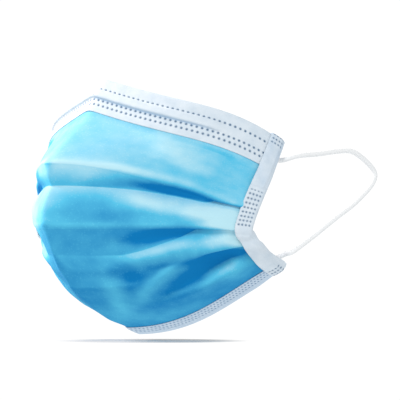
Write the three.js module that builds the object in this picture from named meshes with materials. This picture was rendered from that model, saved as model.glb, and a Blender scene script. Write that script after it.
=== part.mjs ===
// Pleated disposable face mask in its worn shape, in millimetres with +Z up.
// The front faces -Y and the wearer's face is on the +Y side. X is left to right, and the halves mirror.
import * as THREE from 'three';

// Sizes of the worn mask, which the shares in the tables below follow.
const halfWidth = 65;
const wornDepth = 80;
const wornHeight = 108;

// Cloth and trim
const clothThick = 1.0;
const weldedThick = 0.6;
const layerGap = 0.3;
const weldedGap = 0.2;
const tapeThick = 1.0;
const clearance = 0.3;
const noseBandHeight = 14.6;
const noseBandInside = 9;
const chinBandHeight = 7.4;
const chinBandInside = 6;
const bandMargin = 2.5;
const foldRound = 1.0;
const chinLooseness = 0.15;
const foldLooseness = 0.4;
const backLooseness = 0.2;
const columnsPerHalf = 16;
const chinTurn = 0.15;

// Nose wire, a flat strip under the nose band
const wireWidth = 3.0;
const wireThick = 0.8;
const wireFromTop = 6.3;
const wireHalfLength = 51;
const channelSlope = 0.7;
const channelFade = 8;

// Ear loops, round knitted elastic
const loopDiameter = 2.5;
const loopSides = 8;
const loopSteps = 46;

// Each row is one line across the mask: the top edge, a fold or the bottom edge. From the centre it
// leaves at an angle to X, and it arrives at the side edge at another. Y values are shares of wornDepth,
// Z values and drops of wornHeight, X values and reaches of halfWidth.
const rows = {
  top: {
    centreY: 0, centreZ: 0, centreTurn: 14, centreReach: 0.6, centreDrop: -0.107,
    sideX: 0.94, sideY: 0.536, sideZ: -0.242, sideTurn: 66, sideReach: 0.37, sideDrop: -0.09,
  },
  band: {
    centreY: -0.11, centreZ: -0.123, centreTurn: 17, centreReach: 0.58, centreDrop: -0.215,
    sideX: 0.977, sideY: 0.439, sideZ: -0.338, sideTurn: 60, sideReach: 0.37, sideDrop: -0.226,
  },
  fold1: {
    centreY: -0.406, centreZ: -0.315, centreTurn: 36, centreReach: 0.52, centreDrop: -0.311,
    sideX: 0.98, sideY: 0.313, sideZ: -0.492, sideTurn: 48, sideReach: 0.4, sideDrop: -0.449,
  },
  fold2: {
    centreY: -0.425, centreZ: -0.561, centreTurn: 36, centreReach: 0.52, centreDrop: -0.568,
    sideX: 0.962, sideY: 0.283, sideZ: -0.576, sideTurn: 48, sideReach: 0.4, sideDrop: -0.547,
  },
  fold3: {
    centreY: -0.312, centreZ: -0.726, centreTurn: 42, centreReach: 0.52, centreDrop: -0.757,
    sideX: 0.962, sideY: 0.349, sideZ: -0.626, sideTurn: 48, sideReach: 0.4, sideDrop: -0.647,
  },
  chin: {
    centreY: -0.087, centreZ: -0.869, centreTurn: 42, centreReach: 0.5, centreDrop: -0.885,
    sideX: 0.938, sideY: 0.448, sideZ: -0.672, sideTurn: 48, sideReach: 0.37, sideDrop: -0.772,
  },
  hem: {
    centreY: 0.2, centreZ: -0.945, centreTurn: 46, centreReach: 0.42, centreDrop: -0.945,
    sideX: 0.923, sideY: 0.519, sideZ: -0.696, sideTurn: 34, sideReach: 0.34, sideDrop: -0.806,
  },
};

// Each pleat steps back under its fold at the centre, closes towards the side and is tucked up behind
// the fold there. Drop, set back and tuck are shares of pleatDepth, and the four places are shares of
// the way to the side edge.
const pleatDepth = 11;
const pleats = {
  fold1: { drop: 0.92, setBack: 0.35, tuck: 0.6, closesFrom: 0, closesAt: 1.05, leavesAt: 0.74, tuckedAt: 0.9 },
  fold2: { drop: 1.0, setBack: 0.5, tuck: 0.4, closesFrom: 0.3, closesAt: 0.82, leavesAt: 0.62, tuckedAt: 0.9 },
  fold3: { drop: 0.75, setBack: 0.35, tuck: 0.3, closesFrom: 0.3, closesAt: 0.85, leavesAt: 0.66, tuckedAt: 0.9 },
};

// How far each panel swells outward between its lines, as a share of pleatDepth, and where along the
// width it swells most.
const swells = {
  cheek: { height: 0.136, centre: 0.55, spread: 0.5 },
  upper: { height: 0.273, centre: 0.1, spread: 0.9 },
  lower: { height: 0.109, centre: 0.6, spread: 0.35 },
};

// Soft folds that fan out under the lowest pleat, from the side towards the chin. A positive height is
// a ridge and a negative one a hollow, as shares of pleatDepth. Places and widths are shares of the way
// out and of the way down the panel.
const fanFolds = [
  { fromAcross: 0.7, fromDown: 0.0, toAcross: 0.4, toDown: 0.62, height: 0.136, width: 0.08 },
  { fromAcross: 0.84, fromDown: 0.02, toAcross: 0.52, toDown: 0.68, height: -0.273, width: 0.11 },
  { fromAcross: 0.94, fromDown: 0.05, toAcross: 0.7, toDown: 0.8, height: 0.109, width: 0.08 },
];

// Points along one ear loop, from the binding's top corner, round the ear and back to the bottom
// corner. Across is a share of halfWidth, back of wornDepth and down of wornHeight.
const loopRoute = [
  { across: 0.969, back: 0.636, down: -0.288 },
  { across: 1.0, back: 0.758, down: -0.281 },
  { across: 1.031, back: 0.886, down: -0.27 },
  { across: 1.054, back: 0.974, down: -0.27 },
  { across: 1.077, back: 1.099, down: -0.329 },
  { across: 1.077, back: 1.128, down: -0.357 },
  { across: 1.077, back: 1.114, down: -0.388 },
  { across: 1.054, back: 0.993, down: -0.47 },
  { across: 1.031, back: 0.886, down: -0.52 },
  { across: 0.985, back: 0.689, down: -0.617 },
  { across: 0.954, back: 0.596, down: -0.66 },
];
// Where the loop's two tails cross the side edge, as shares of the way down the end of the nose band
// and of the chin band, and how far in they run.
const loopTopShare = 0.29;
const loopBottomShare = 0.6;
const loopTail = 5.5;
const loopClear = 3;

const smooth = (value) => {
  const clamped = Math.min(1, Math.max(0, value));
  return clamped * clamped * (3 - 2 * clamped);
};
const hump = (value, centre, spread) => Math.exp(-(((value - centre) / spread) ** 2));

// A point on a row, with across from -1 at the left side edge to 1 at the right one.
function rowPoint(row, across) {
  const share = Math.abs(across);
  const centreTurn = THREE.MathUtils.degToRad(row.centreTurn);
  const sideTurn = THREE.MathUtils.degToRad(row.sideTurn);
  const centreReach = row.centreReach * halfWidth;
  const sideReach = row.sideReach * halfWidth;
  const centre = new THREE.Vector3(0, row.centreY * wornDepth, row.centreZ * wornHeight);
  const side = new THREE.Vector3(row.sideX * halfWidth, row.sideY * wornDepth, row.sideZ * wornHeight);
  const curve = new THREE.CubicBezierCurve3(
    centre,
    new THREE.Vector3(
      centreReach * Math.cos(centreTurn),
      centre.y + centreReach * Math.sin(centreTurn),
      row.centreDrop * wornHeight,
    ),
    new THREE.Vector3(
      side.x - sideReach * Math.cos(sideTurn),
      side.y - sideReach * Math.sin(sideTurn),
      row.sideDrop * wornHeight,
    ),
    side,
  );
  const point = curve.getPoint(share);
  point.x *= Math.sign(across) || 1;
  return point;
}

// The way out of the face at a row, square to the row and to the way down the cloth.
function outward(upper, lower, across) {
  const step = 0.01;
  const along = rowPoint(upper, across + step).sub(rowPoint(upper, across - step));
  if (Math.abs(across) < step) {
    along.set(1, 0, 0);
  }
  if (Math.abs(across) > 1 - step) {
    const side = Math.sign(across);
    along.copy(rowPoint(upper, side)).sub(rowPoint(upper, side * (1 - step))).multiplyScalar(side);
  }
  const down = rowPoint(lower, across).sub(rowPoint(upper, across));
  return along.cross(down).normalize().negate();
}

// Places across the width, from the left side edge to the right one, which the cloth and trim share.
const bandEnd = 0.905;
const bandAcross = [];
for (let column = -columnsPerHalf; column <= columnsPerHalf; column += 1) {
  bandAcross.push((column / columnsPerHalf) * bandEnd);
}
const clothAcross = [-1, -0.955, ...bandAcross, 0.955, 1];
const firstBandColumn = 2;

// The side seam squeezes the cloth thinner and its layers closer.
const squeezed = (across) => smooth((Math.abs(across) - 0.78) / 0.11);
const thickAt = (across) => THREE.MathUtils.lerp(clothThick, weldedThick, squeezed(across));
const layerAt = (across) => thickAt(across) + THREE.MathUtils.lerp(layerGap, weldedGap, squeezed(across));

const mapAcross = (make) => clothAcross.map((across, column) => make(across, column));
const lineOf = (name) => mapAcross((across) => rowPoint(rows[name], across));
const between = (upperLine, lowerLine, share) => upperLine.map(
  (point, column) => point.clone().lerp(lowerLine[column], share),
);

// How much further a crease across the columns has to be offset to keep the cloth's thickness.
function creaseScale(line, column) {
  if (column === 0 || column === line.length - 1) {
    return 1;
  }
  const before = line[column].clone().sub(line[column - 1]).normalize();
  const after = line[column + 1].clone().sub(line[column]).normalize();
  return 1 / Math.max(0.7, Math.sqrt((1 + before.dot(after)) / 2));
}

// The lines of one pleat: two round its fold, two round its inner line, and one where the cloth passes
// the fold again on its way down.
function pleatLines(name, upperLine, upperName, nextName) {
  const pleat = pleats[name];
  const lines = { foldBack: [], middle: [], innerUpper: [], innerLower: [], passing: [] };
  clothAcross.forEach((across, column) => {
    const share = Math.abs(across);
    const fold = rowPoint(rows[name], across);
    const next = rowPoint(rows[nextName], across);
    const out = outward(rows[upperName], rows[name], across);
    const up = upperLine[column].clone().sub(fold).normalize();
    const layer = layerAt(across);
    const tucked = smooth((share - pleat.leavesAt) / (pleat.tuckedAt - pleat.leavesAt));
    const closed = smooth((share - pleat.closesFrom) / (pleat.closesAt - pleat.closesFrom));
    const setBack = THREE.MathUtils.lerp(pleat.setBack * pleatDepth, layer * 1.5, closed);
    const open = fold.clone().addScaledVector(out, -setBack);
    open.z -= pleat.drop * pleatDepth * (1 - closed * 0.9);
    const shelf = open.clone().sub(fold).normalize();
    const onward = next.clone().sub(open).normalize();
    const hidden = fold.clone().addScaledVector(up, pleat.tuck * pleatDepth);
    const foldBack = fold.clone().addScaledVector(shelf, foldRound).lerp(
      fold.clone().addScaledVector(out, -layer),
      tucked,
    );
    const innerUpper = open.clone().addScaledVector(shelf, -foldRound * 0.5).lerp(
      hidden.clone().addScaledVector(out, -layer),
      tucked,
    );
    const innerLower = open.clone().addScaledVector(onward, foldRound * 0.5).lerp(
      hidden.clone().addScaledVector(out, -2 * layer),
      tucked,
    );
    const behind = fold.clone().addScaledVector(out, -2 * layer);
    const passing = innerLower.clone().lerp(next, 0.3).lerp(behind, tucked);
    lines.foldBack.push(foldBack);
    lines.middle.push(foldBack.clone().lerp(innerUpper, 0.5));
    lines.innerUpper.push(innerUpper);
    lines.innerLower.push(innerLower);
    lines.passing.push(passing);
  });
  return lines;
}

// Swells a panel's inside lines outward between its two ends.
function swell(grid, shape) {
  const count = grid.length - 1;
  return grid.map((line, index) => line.map((point, column) => {
    if (index === 0 || index === count) {
      return point;
    }
    const across = Math.abs(clothAcross[column]);
    const above = grid[index - 1][column];
    const below = grid[index + 1][column];
    const left = line[Math.max(0, column - 1)];
    const right = line[Math.min(line.length - 1, column + 1)];
    const out = right.clone().sub(left).cross(below.clone().sub(above)).normalize().negate();
    const edge = 1 - smooth((across - 0.65) / 0.2);
    const rise = Math.sin((Math.PI * index) / count) * hump(across, shape.centre, shape.spread);
    return point.clone().addScaledVector(out, shape.height * pleatDepth * rise * edge);
  }));
}

// Fans the soft folds over the lowest panel's lines.
function fanOut(grid) {
  return grid.map((line, index) => line.map((point, column) => {
    if (index === 0) {
      return point;
    }
    const across = Math.abs(clothAcross[column]);
    const down = index / grid.length;
    const left = line[Math.max(0, column - 1)];
    const right = line[Math.min(line.length - 1, column + 1)];
    const above = grid[index - 1][column];
    const out = right.clone().sub(left).cross(point.clone().sub(above)).normalize().negate();
    let height = 0;
    for (const fold of fanFolds) {
      const runAcross = fold.toAcross - fold.fromAcross;
      const runDown = fold.toDown - fold.fromDown;
      const length = Math.hypot(runAcross, runDown);
      const fromAcross = across - fold.fromAcross;
      const fromDown = down - fold.fromDown;
      const alongFold = (fromAcross * runAcross + fromDown * runDown) / (length * length);
      const offFold = (fromAcross * runDown - fromDown * runAcross) / length;
      const fade = smooth(alongFold / 0.3) * (1 - smooth((alongFold - 0.75) / 0.4));
      height += fold.height * pleatDepth * fade * hump(offFold, 0, fold.width);
    }
    const edge = 1 - smooth((across - 0.75) / 0.12);
    return point.clone().addScaledVector(out, height * edge);
  }));
}

function solidFrom(positions, indices) {
  const geometry = new THREE.BufferGeometry();
  geometry.setAttribute('position', new THREE.Float32BufferAttribute(positions, 3));
  geometry.setIndex(indices);
  geometry.computeVertexNormals();
  return geometry;
}

// Cloth of even thickness round a surface given as lines of points from top to bottom. At a fold each
// corner is mitred, so that the layers turn without thinning.
function clothSolid(lines, thicknessOf) {
  const lineCount = lines.length;
  const columns = lines[0].length;
  const positions = [];
  const indices = [];
  const segmentOut = (line, column) => {
    const left = Math.max(0, column - 1);
    const right = Math.min(columns - 1, column + 1);
    const along = lines[line][right].clone().add(lines[line + 1][right])
      .sub(lines[line][left]).sub(lines[line + 1][left]);
    const down = lines[line + 1][column].clone().sub(lines[line][column]);
    return along.cross(down).normalize().negate();
  };
  for (let line = 0; line < lineCount; line += 1) {
    for (let column = 0; column < columns; column += 1) {
      const before = segmentOut(Math.max(0, line - 1), column);
      const after = segmentOut(Math.min(lineCount - 2, line), column);
      const out = before.clone().add(after).normalize();
      const spread = Math.max(0.7, out.dot(before));
      const crease = creaseScale(lines[line], column);
      const offset = ((thicknessOf(clothAcross[column]) * 0.5) / spread) * crease;
      for (const side of [1, -1]) {
        const point = lines[line][column].clone().addScaledVector(out, offset * side);
        positions.push(point.x, point.y, point.z);
      }
    }
  }
  const at = (line, column, side) => (line * columns + column) * 2 + side;
  const quad = (a, b, c, d) => indices.push(a, b, c, a, c, d);
  for (let line = 0; line < lineCount - 1; line += 1) {
    for (let column = 0; column < columns - 1; column += 1) {
      quad(at(line, column, 0), at(line + 1, column, 0), at(line + 1, column + 1, 0), at(line, column + 1, 0));
      quad(at(line, column, 1), at(line, column + 1, 1), at(line + 1, column + 1, 1), at(line + 1, column, 1));
    }
    const last = columns - 1;
    quad(at(line, 0, 0), at(line, 0, 1), at(line + 1, 0, 1), at(line + 1, 0, 0));
    quad(at(line, last, 0), at(line + 1, last, 0), at(line + 1, last, 1), at(line, last, 1));
  }
  for (let column = 0; column < columns - 1; column += 1) {
    const last = lineCount - 1;
    quad(at(0, column, 0), at(0, column + 1, 0), at(0, column + 1, 1), at(0, column, 1));
    quad(at(last, column, 0), at(last, column, 1), at(last, column + 1, 1), at(last, column + 1, 0));
  }
  return solidFrom(positions, indices);
}

// A closed solid through equal rings of points, with its ends capped.
function ringSolid(rings, section) {
  const positions = [];
  const indices = [];
  const count = rings[0].length;
  for (const ring of rings) {
    for (const point of ring) {
      positions.push(point.x, point.y, point.z);
    }
  }
  for (let ring = 0; ring < rings.length - 1; ring += 1) {
    for (let side = 0; side < count; side += 1) {
      const first = ring * count + side;
      const second = ring * count + ((side + 1) % count);
      indices.push(first, second, second + count, first, second + count, first + count);
    }
  }
  const corners = section.map(([across, up]) => new THREE.Vector2(across, up));
  const turns = Math.sign(THREE.ShapeUtils.area(corners));
  const base = (rings.length - 1) * count;
  for (const cap of THREE.ShapeUtils.triangulateShape(corners, [])) {
    const sameWay = Math.sign(THREE.ShapeUtils.area(cap.map((corner) => corners[corner]))) === turns;
    const [a, b, c] = sameWay ? cap : [cap[0], cap[2], cap[1]];
    indices.push(a, c, b, base + a, base + b, base + c);
  }
  return solidFrom(positions, facingOut(positions, indices));
}

// Turns every triangle over when they face into the solid.
function facingOut(positions, indices) {
  const corner = (index) => new THREE.Vector3().fromArray(positions, indices[index] * 3);
  let volume = 0;
  for (let index = 0; index < indices.length; index += 3) {
    volume += corner(index).dot(corner(index + 1).cross(corner(index + 2)));
  }
  return volume > 0 ? indices : indices.slice().reverse();
}

const topLine = lineOf('top');
const bandLine = lineOf('band');
const fold1Line = lineOf('fold1');
const fold2Line = lineOf('fold2');
const fold3Line = lineOf('fold3');
const chinLine = lineOf('chin');
const hemLine = lineOf('hem');

// Flat frames along the top edge, which the nose band and the wire follow.
const topDown = mapAcross((across, column) => bandLine[column].clone().sub(topLine[column]).normalize());
const topOut = mapAcross((across, column) => {
  const left = Math.max(0, column - 1);
  const right = Math.min(clothAcross.length - 1, column + 1);
  const along = topLine[right].clone().add(bandLine[right]).sub(topLine[left]).sub(bandLine[left]);
  return along.cross(topDown[column]).normalize().multiplyScalar(-creaseScale(topLine, column));
});
const topAt = (column, down, out) => topLine[column].clone()
  .addScaledVector(topDown[column], down)
  .addScaledVector(topOut[column], out);

// Flat frames along the bottom edge, which turns in under the chin from the hem line.
const hemDown = mapAcross((across, column) => hemLine[column].clone().sub(chinLine[column]).normalize()
  .add(new THREE.Vector3(0, chinTurn, 0)).normalize());
const hemOut = mapAcross((across, column) => {
  const left = hemLine[Math.max(0, column - 1)];
  const right = hemLine[Math.min(hemLine.length - 1, column + 1)];
  const scale = -creaseScale(hemLine, column);
  return right.clone().sub(left).cross(hemDown[column]).normalize().multiplyScalar(scale);
});
const hemAt = (column, down, out) => hemLine[column].clone()
  .addScaledVector(hemDown[column], down)
  .addScaledVector(hemOut[column], out);

const bandLines = [0, 0.5, 1].map((share) => mapAcross((across, column) => topAt(column, noseBandHeight * share, 0)));
const cheekTop = mapAcross((across, column) => topAt(column, noseBandHeight + bandMargin, 0));
const cheekLines = swell([0, 0.33, 0.67, 1].map((share) => between(cheekTop, fold1Line, share)), swells.cheek);
const pleat1 = pleatLines('fold1', cheekLines[2], 'band', 'fold2');
const upperLines = swell([
  pleat1.innerLower,
  pleat1.passing,
  between(pleat1.passing, fold2Line, 0.5),
  fold2Line,
], swells.upper);
const pleat2 = pleatLines('fold2', pleat1.passing, 'fold1', 'fold3');
const lowerLines = swell([
  pleat2.innerLower,
  pleat2.passing,
  between(pleat2.passing, fold3Line, 0.5),
  fold3Line,
], swells.lower);
const pleat3 = pleatLines('fold3', pleat2.passing, 'fold2', 'chin');
const chinLines = fanOut([
  pleat3.innerLower,
  pleat3.passing,
  between(pleat3.passing, chinLine, 0.33),
  between(pleat3.passing, chinLine, 0.67),
  chinLine,
  between(chinLine, hemLine, 0.33),
  between(chinLine, hemLine, 0.67),
  between(chinLine, hemLine, 0.92),
]);
const hemLines = [0.15, 0.6, 1].map((share) => mapAcross((across, column) => hemAt(column, chinBandHeight * share, 0)));

const clothLines = [
  ...bandLines,
  ...cheekLines,
  pleat1.foldBack,
  pleat1.middle,
  pleat1.innerUpper,
  ...upperLines,
  pleat2.foldBack,
  pleat2.middle,
  pleat2.innerUpper,
  ...lowerLines,
  pleat3.foldBack,
  pleat3.middle,
  pleat3.innerUpper,
  ...chinLines,
  ...hemLines,
];

// Folded tape in section: down along the cloth and out from its middle. Every wall stays clear of the
// cloth, and the nose band also rises over the wire.
const tapeIn = clothThick * 0.5 + clearance;
const tapeOut = tapeIn + tapeThick;
const foldIn = -clearance;
const foldOut = -(clearance + tapeThick);
const foldCorner = foldIn - tapeThick * 0.3;
const channelSide = clearance + tapeThick * 0.5;
const wireTop = wireFromTop - wireWidth * 0.5;
const wireBottom = wireFromTop + wireWidth * 0.5;
const wireRise = wireThick + clearance;

const noseSection = (rise) => [
  [noseBandHeight, tapeIn],
  [noseBandHeight, tapeOut],
  [wireBottom + channelSide + channelSlope, tapeOut],
  [wireBottom + channelSide, tapeOut + rise],
  [wireTop - channelSide, tapeOut + rise],
  [wireTop - channelSide - channelSlope, tapeOut],
  [foldCorner, tapeOut],
  [foldOut, tapeIn],
  [foldOut, -tapeIn],
  [foldCorner, -tapeOut],
  [noseBandInside, -tapeOut],
  [noseBandInside, -tapeIn],
  [foldIn, -tapeIn],
  [foldIn, tapeIn],
  [wireTop - clearance - channelSlope * 0.5, tapeIn],
  [wireTop - clearance, tapeIn + rise],
  [wireBottom + clearance, tapeIn + rise],
  [wireBottom + clearance + channelSlope * 0.5, tapeIn],
];

// The chin band sits a little looser, since its cloth turns sharply at the middle.
const chinIn = tapeIn + chinLooseness;
const chinOut = chinIn + tapeThick;
const chinSection = [
  [0, chinIn],
  [0, chinOut],
  [chinBandHeight - foldCorner, chinOut],
  [chinBandHeight - foldOut, chinIn],
  [chinBandHeight - foldOut, -chinIn],
  [chinBandHeight - foldCorner, -chinOut],
  [chinBandHeight - chinBandInside, -chinOut],
  [chinBandHeight - chinBandInside, -chinIn],
  [chinBandHeight - foldIn, -chinIn],
  [chinBandHeight - foldIn, chinIn],
];

// How far each column lies from the middle along the nose band.
const centreColumn = firstBandColumn + columnsPerHalf;
const fromMiddle = clothAcross.map(() => 0);
for (let column = centreColumn + 1; column < clothAcross.length; column += 1) {
  const step = topAt(column, wireFromTop, 0).distanceTo(topAt(column - 1, wireFromTop, 0));
  fromMiddle[column] = fromMiddle[column - 1] + step;
  fromMiddle[clothAcross.length - 1 - column] = fromMiddle[column];
}
const bandColumns = bandAcross.map((across, index) => firstBandColumn + index);
const wireColumns = bandColumns.filter((column) => fromMiddle[column] <= wireHalfLength);
const riseAt = (column) => wireRise * (1 - smooth((fromMiddle[column] - wireHalfLength) / channelFade));

const noseRings = bandColumns.map(
  (column) => noseSection(riseAt(column)).map(([down, out]) => topAt(column, down, out)),
);
const chinRings = bandColumns.map(
  (column) => chinSection.map(([down, out]) => hemAt(column, down, out)),
);
const wireSection = [
  [wireTop, tapeIn],
  [wireBottom, tapeIn],
  [wireBottom, tapeIn + wireThick],
  [wireTop, tapeIn + wireThick],
];
const wireRings = wireColumns.map(
  (column) => wireSection.map(([down, out]) => topAt(column, down, out)),
);

// Side binding: a strip folded round the side edge, over every layer of the tucked pleats.
const lastColumn = clothAcross.length - 1;
const stackBack = weldedThick * 0.5 + 2 * (weldedThick + weldedGap);
const bindFront = weldedThick * 0.5 + clearance;
const bindFold = -clearance - foldLooseness;
const bindBack = stackBack + clearance + backLooseness;
const edgeLines = [
  ...bandLines,
  ...cheekLines,
  upperLines[2],
  fold2Line,
  lowerLines[2],
  fold3Line,
  between(fold3Line, chinLine, 0.5),
  chinLine,
  ...hemLines,
];
function edgeFrames() {
  const ends = edgeLines.map((line) => line[lastColumn]);
  return ends.map((end, index) => {
    const inner = edgeLines[index][lastColumn - 2];
    const inward = inner.clone().sub(end);
    const reach = inward.length() - clearance * 1.2;
    inward.normalize();
    const before = ends[Math.max(0, index - 1)];
    const after = ends[Math.min(ends.length - 1, index + 1)];
    const downEdge = after.clone().sub(before).normalize();
    const out = inward.clone().cross(downEdge).normalize();
    return { end: end.clone(), inward, out, downEdge, reach };
  });
}
const frames = edgeFrames();
const firstFrame = frames[0];
const lastFrame = frames[frames.length - 1];
const capFrame = (frame, distance) => ({ ...frame, end: frame.end.clone().addScaledVector(frame.downEdge, distance) });
const bindFrames = [
  capFrame(firstFrame, foldOut),
  ...frames,
  capFrame(lastFrame, -foldOut),
];
const bindAt = (frame, inward, out) => frame.end.clone()
  .addScaledVector(frame.inward, inward)
  .addScaledVector(frame.out, out);
const bindSection = (reach) => [
  [reach, bindFront],
  [reach, bindFront + tapeThick],
  [bindFold - tapeThick * 0.3, bindFront + tapeThick],
  [bindFold - tapeThick, bindFront],
  [bindFold - tapeThick, -bindBack],
  [bindFold - tapeThick * 0.3, -bindBack - tapeThick],
  [reach, -bindBack - tapeThick],
  [reach, -bindBack],
  [bindFold, -bindBack],
  [bindFold, bindFront],
];
const bindRings = bindFrames.map(
  (frame) => bindSection(frame.reach).map(([inward, out]) => bindAt(frame, inward, out)),
);

const mirrored = (points) => points.map((point) => new THREE.Vector3(-point.x, point.y, point.z));

// Ear loop: its tails lie flat behind the binding, on the face side, and the rest goes round the ear.
const loopBehind = -(bindBack + tapeThick + clearance * 1.5 + loopDiameter * 0.5);
function frameBetween(first, second, share) {
  return {
    end: first.end.clone().lerp(second.end, share),
    inward: first.inward.clone().lerp(second.inward, share).normalize(),
    out: first.out.clone().lerp(second.out, share).normalize(),
  };
}
const bandEndFrame = frames[bandLines.length - 1];
const loopTopFrame = frameBetween(firstFrame, bandEndFrame, loopTopShare);
const hemFrame = frames[frames.length - hemLines.length];
const loopBottomFrame = frameBetween(hemFrame, lastFrame, loopBottomShare);
const loopPoints = [
  bindAt(loopTopFrame, loopTail, loopBehind),
  bindAt(loopTopFrame, -loopClear, loopBehind),
  ...loopRoute.map((place) => new THREE.Vector3(
    place.across * halfWidth,
    place.back * wornDepth,
    place.down * wornHeight,
  )),
  bindAt(loopBottomFrame, -loopClear, loopBehind),
  bindAt(loopBottomFrame, loopTail, loopBehind),
];
function loopGeometry(points) {
  const circle = new THREE.Shape();
  for (let side = 0; side < loopSides; side += 1) {
    const angle = (side / loopSides) * Math.PI * 2;
    const x = Math.cos(angle) * loopDiameter * 0.5;
    const y = Math.sin(angle) * loopDiameter * 0.5;
    if (side === 0) {
      circle.moveTo(x, y);
    } else {
      circle.lineTo(x, y);
    }
  }
  circle.closePath();
  return new THREE.ExtrudeGeometry(circle, {
    steps: loopSteps,
    bevelEnabled: false,
    extrudePath: new THREE.CatmullRomCurve3(points, false, 'centripetal'),
  });
}

const mask = new THREE.Group();

function addPart(name, geometry, colour, roughness, metalness = 0) {
  const material = new THREE.MeshStandardMaterial({ color: colour, roughness, metalness });
  const mesh = new THREE.Mesh(geometry, material);
  mesh.name = name;
  mask.add(mesh);
  return mesh;
}

addPart('pleated_panel', clothSolid(clothLines, thickAt), 0x6cc6e6, 0.8);
addPart('nose_band', ringSolid(noseRings, noseSection(wireRise)), 0xf1f3f8, 0.85);
addPart('chin_band', ringSolid(chinRings, chinSection), 0xf1f3f8, 0.85);
addPart('nose_wire', ringSolid(wireRings, wireSection), 0xe6e8ec, 0.5);
addPart('side_binding_right', ringSolid(bindRings, bindSection(firstFrame.reach)), 0xf1f3f8, 0.85);
addPart('side_binding_left', ringSolid(bindRings.map(mirrored), bindSection(firstFrame.reach)), 0xf1f3f8, 0.85);
addPart('ear_loop_right', loopGeometry(loopPoints), 0xf0f0f3, 0.9);
addPart('ear_loop_left', loopGeometry(mirrored(loopPoints)), 0xf0f0f3, 0.9);

// The origin is the nose seat, on the inside of the nose band at the ridge of the nose.
const seat = topAt(centreColumn, noseBandInside * 0.75, -tapeOut);
mask.position.copy(seat).negate();

export default mask;
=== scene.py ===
# Pleated face mask in its worn shape, held up with no wearer, over a pale floor.
import math
import bpy
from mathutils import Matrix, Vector, noise


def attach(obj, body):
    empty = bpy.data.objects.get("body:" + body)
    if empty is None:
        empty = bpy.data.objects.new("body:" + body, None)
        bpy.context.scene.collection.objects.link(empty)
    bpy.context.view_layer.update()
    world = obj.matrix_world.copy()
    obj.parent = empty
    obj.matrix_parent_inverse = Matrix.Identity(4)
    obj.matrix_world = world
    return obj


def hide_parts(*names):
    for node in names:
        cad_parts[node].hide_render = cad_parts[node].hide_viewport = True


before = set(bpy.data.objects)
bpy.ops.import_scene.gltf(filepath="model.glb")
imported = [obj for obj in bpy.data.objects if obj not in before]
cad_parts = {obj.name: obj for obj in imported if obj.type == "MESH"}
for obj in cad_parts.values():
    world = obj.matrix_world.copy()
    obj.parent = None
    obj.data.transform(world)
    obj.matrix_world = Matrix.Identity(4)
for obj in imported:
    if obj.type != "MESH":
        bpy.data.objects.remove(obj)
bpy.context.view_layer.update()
mm = 0.001
print("frame loaded")

# The CAD's origin is the nose seat, and the tables below start at the top of the nose ridge.
seat = Vector((0, -2.114, -6.696))
maskSize = {"halfWidth": 65, "depth": 80, "height": 108, "pleatDepth": 11}

cameraSetup = {
    "target": (28.46, 30.58, -42.69),   # middle of the picture, in mm
    "azimuth": 45,
    "distance": 2500,
    "viewWidth": 166,                   # how much the picture is across at the target
}


def addCamera(setup):
    turn = math.radians(setup["azimuth"])
    back = Vector((math.sin(turn), -math.cos(turn), 0))
    data = bpy.data.cameras.new("camera")
    data.lens = data.sensor_width * setup["distance"] / setup["viewWidth"]
    data.clip_end = 20
    camera = bpy.data.objects.new("camera", data)
    bpy.context.collection.objects.link(camera)
    camera.location = (Vector(setup["target"]) + back * setup["distance"]) * mm
    camera.rotation_mode = "QUATERNION"
    camera.rotation_quaternion = (-back).to_track_quat("-Z", "Y")
    bpy.context.scene.camera = camera


addCamera(cameraSetup)
print("camera set")


# Shared helpers

def smooth(value):
    value = min(1, max(0, value))
    return value * value * (3 - 2 * value)


def rising(value, start, end):
    # 0 up to the start, 1 from the end on and smooth between them
    return smooth((value - start) / (end - start))


def mixed(first, second, share):
    return first + (second - first) * share


def hump(value, centre, spread):
    return math.exp(-((value - centre) / spread) ** 2)


def splinePoint(points, place):
    index = min(int(place), len(points) - 2)
    share = place - index
    p1, p2 = points[index], points[index + 1]
    p0 = points[index - 1] if index > 0 else p1 * 2 - p2
    p3 = points[index + 2] if index + 2 < len(points) else p2 * 2 - p1
    t1 = max((p1 - p0).length, 1e-6) ** 0.5
    t2 = t1 + max((p2 - p1).length, 1e-6) ** 0.5
    t3 = t2 + max((p3 - p2).length, 1e-6) ** 0.5
    t = mixed(t1, t2, share)
    a1 = p0.lerp(p1, t / t1)
    a2 = p1.lerp(p2, (t - t1) / (t2 - t1))
    a3 = p2.lerp(p3, (t - t2) / (t3 - t2))
    b1 = a1.lerp(a2, t / t2)
    b2 = a2.lerp(a3, (t - t1) / (t3 - t1))
    return b1.lerp(b2, (t - t1) / (t2 - t1))


def placesAlong(points, stepLength, fewest):
    # Places on a line through the points, about one step apart, with at least so many in each part.
    places = [0.0]
    for index, (first, second) in enumerate(zip(points, points[1:])):
        steps = max(fewest, round((second - first).length / stepLength))
        places += [index + step / steps for step in range(1, steps + 1)]
    return places


def sampled(points, stepLength):
    places = placesAlong(points, stepLength, 1)
    return [points[0]] + [splinePoint(points, place) for place in places[1:]]


def evened(points, times):
    # Each point moves towards its neighbours, and the two ends stay.
    for turn in range(times):
        middle = [(a + b * 2 + c) / 4 for a, b, c in zip(points, points[1:], points[2:])]
        points = [points[0]] + middle + [points[-1]]
    return points


def noiseAt(setup, first, second):
    # A height from smooth noise, which has its own size in each direction and its own place in the noise.
    firstSize, secondSize = setup["size"]
    return noise.noise(Vector((first / firstSize, second / secondSize, setup["seed"]))) * setup["height"]


def deselectAll():
    for each in bpy.context.selected_objects:
        each.select_set(False)


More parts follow.
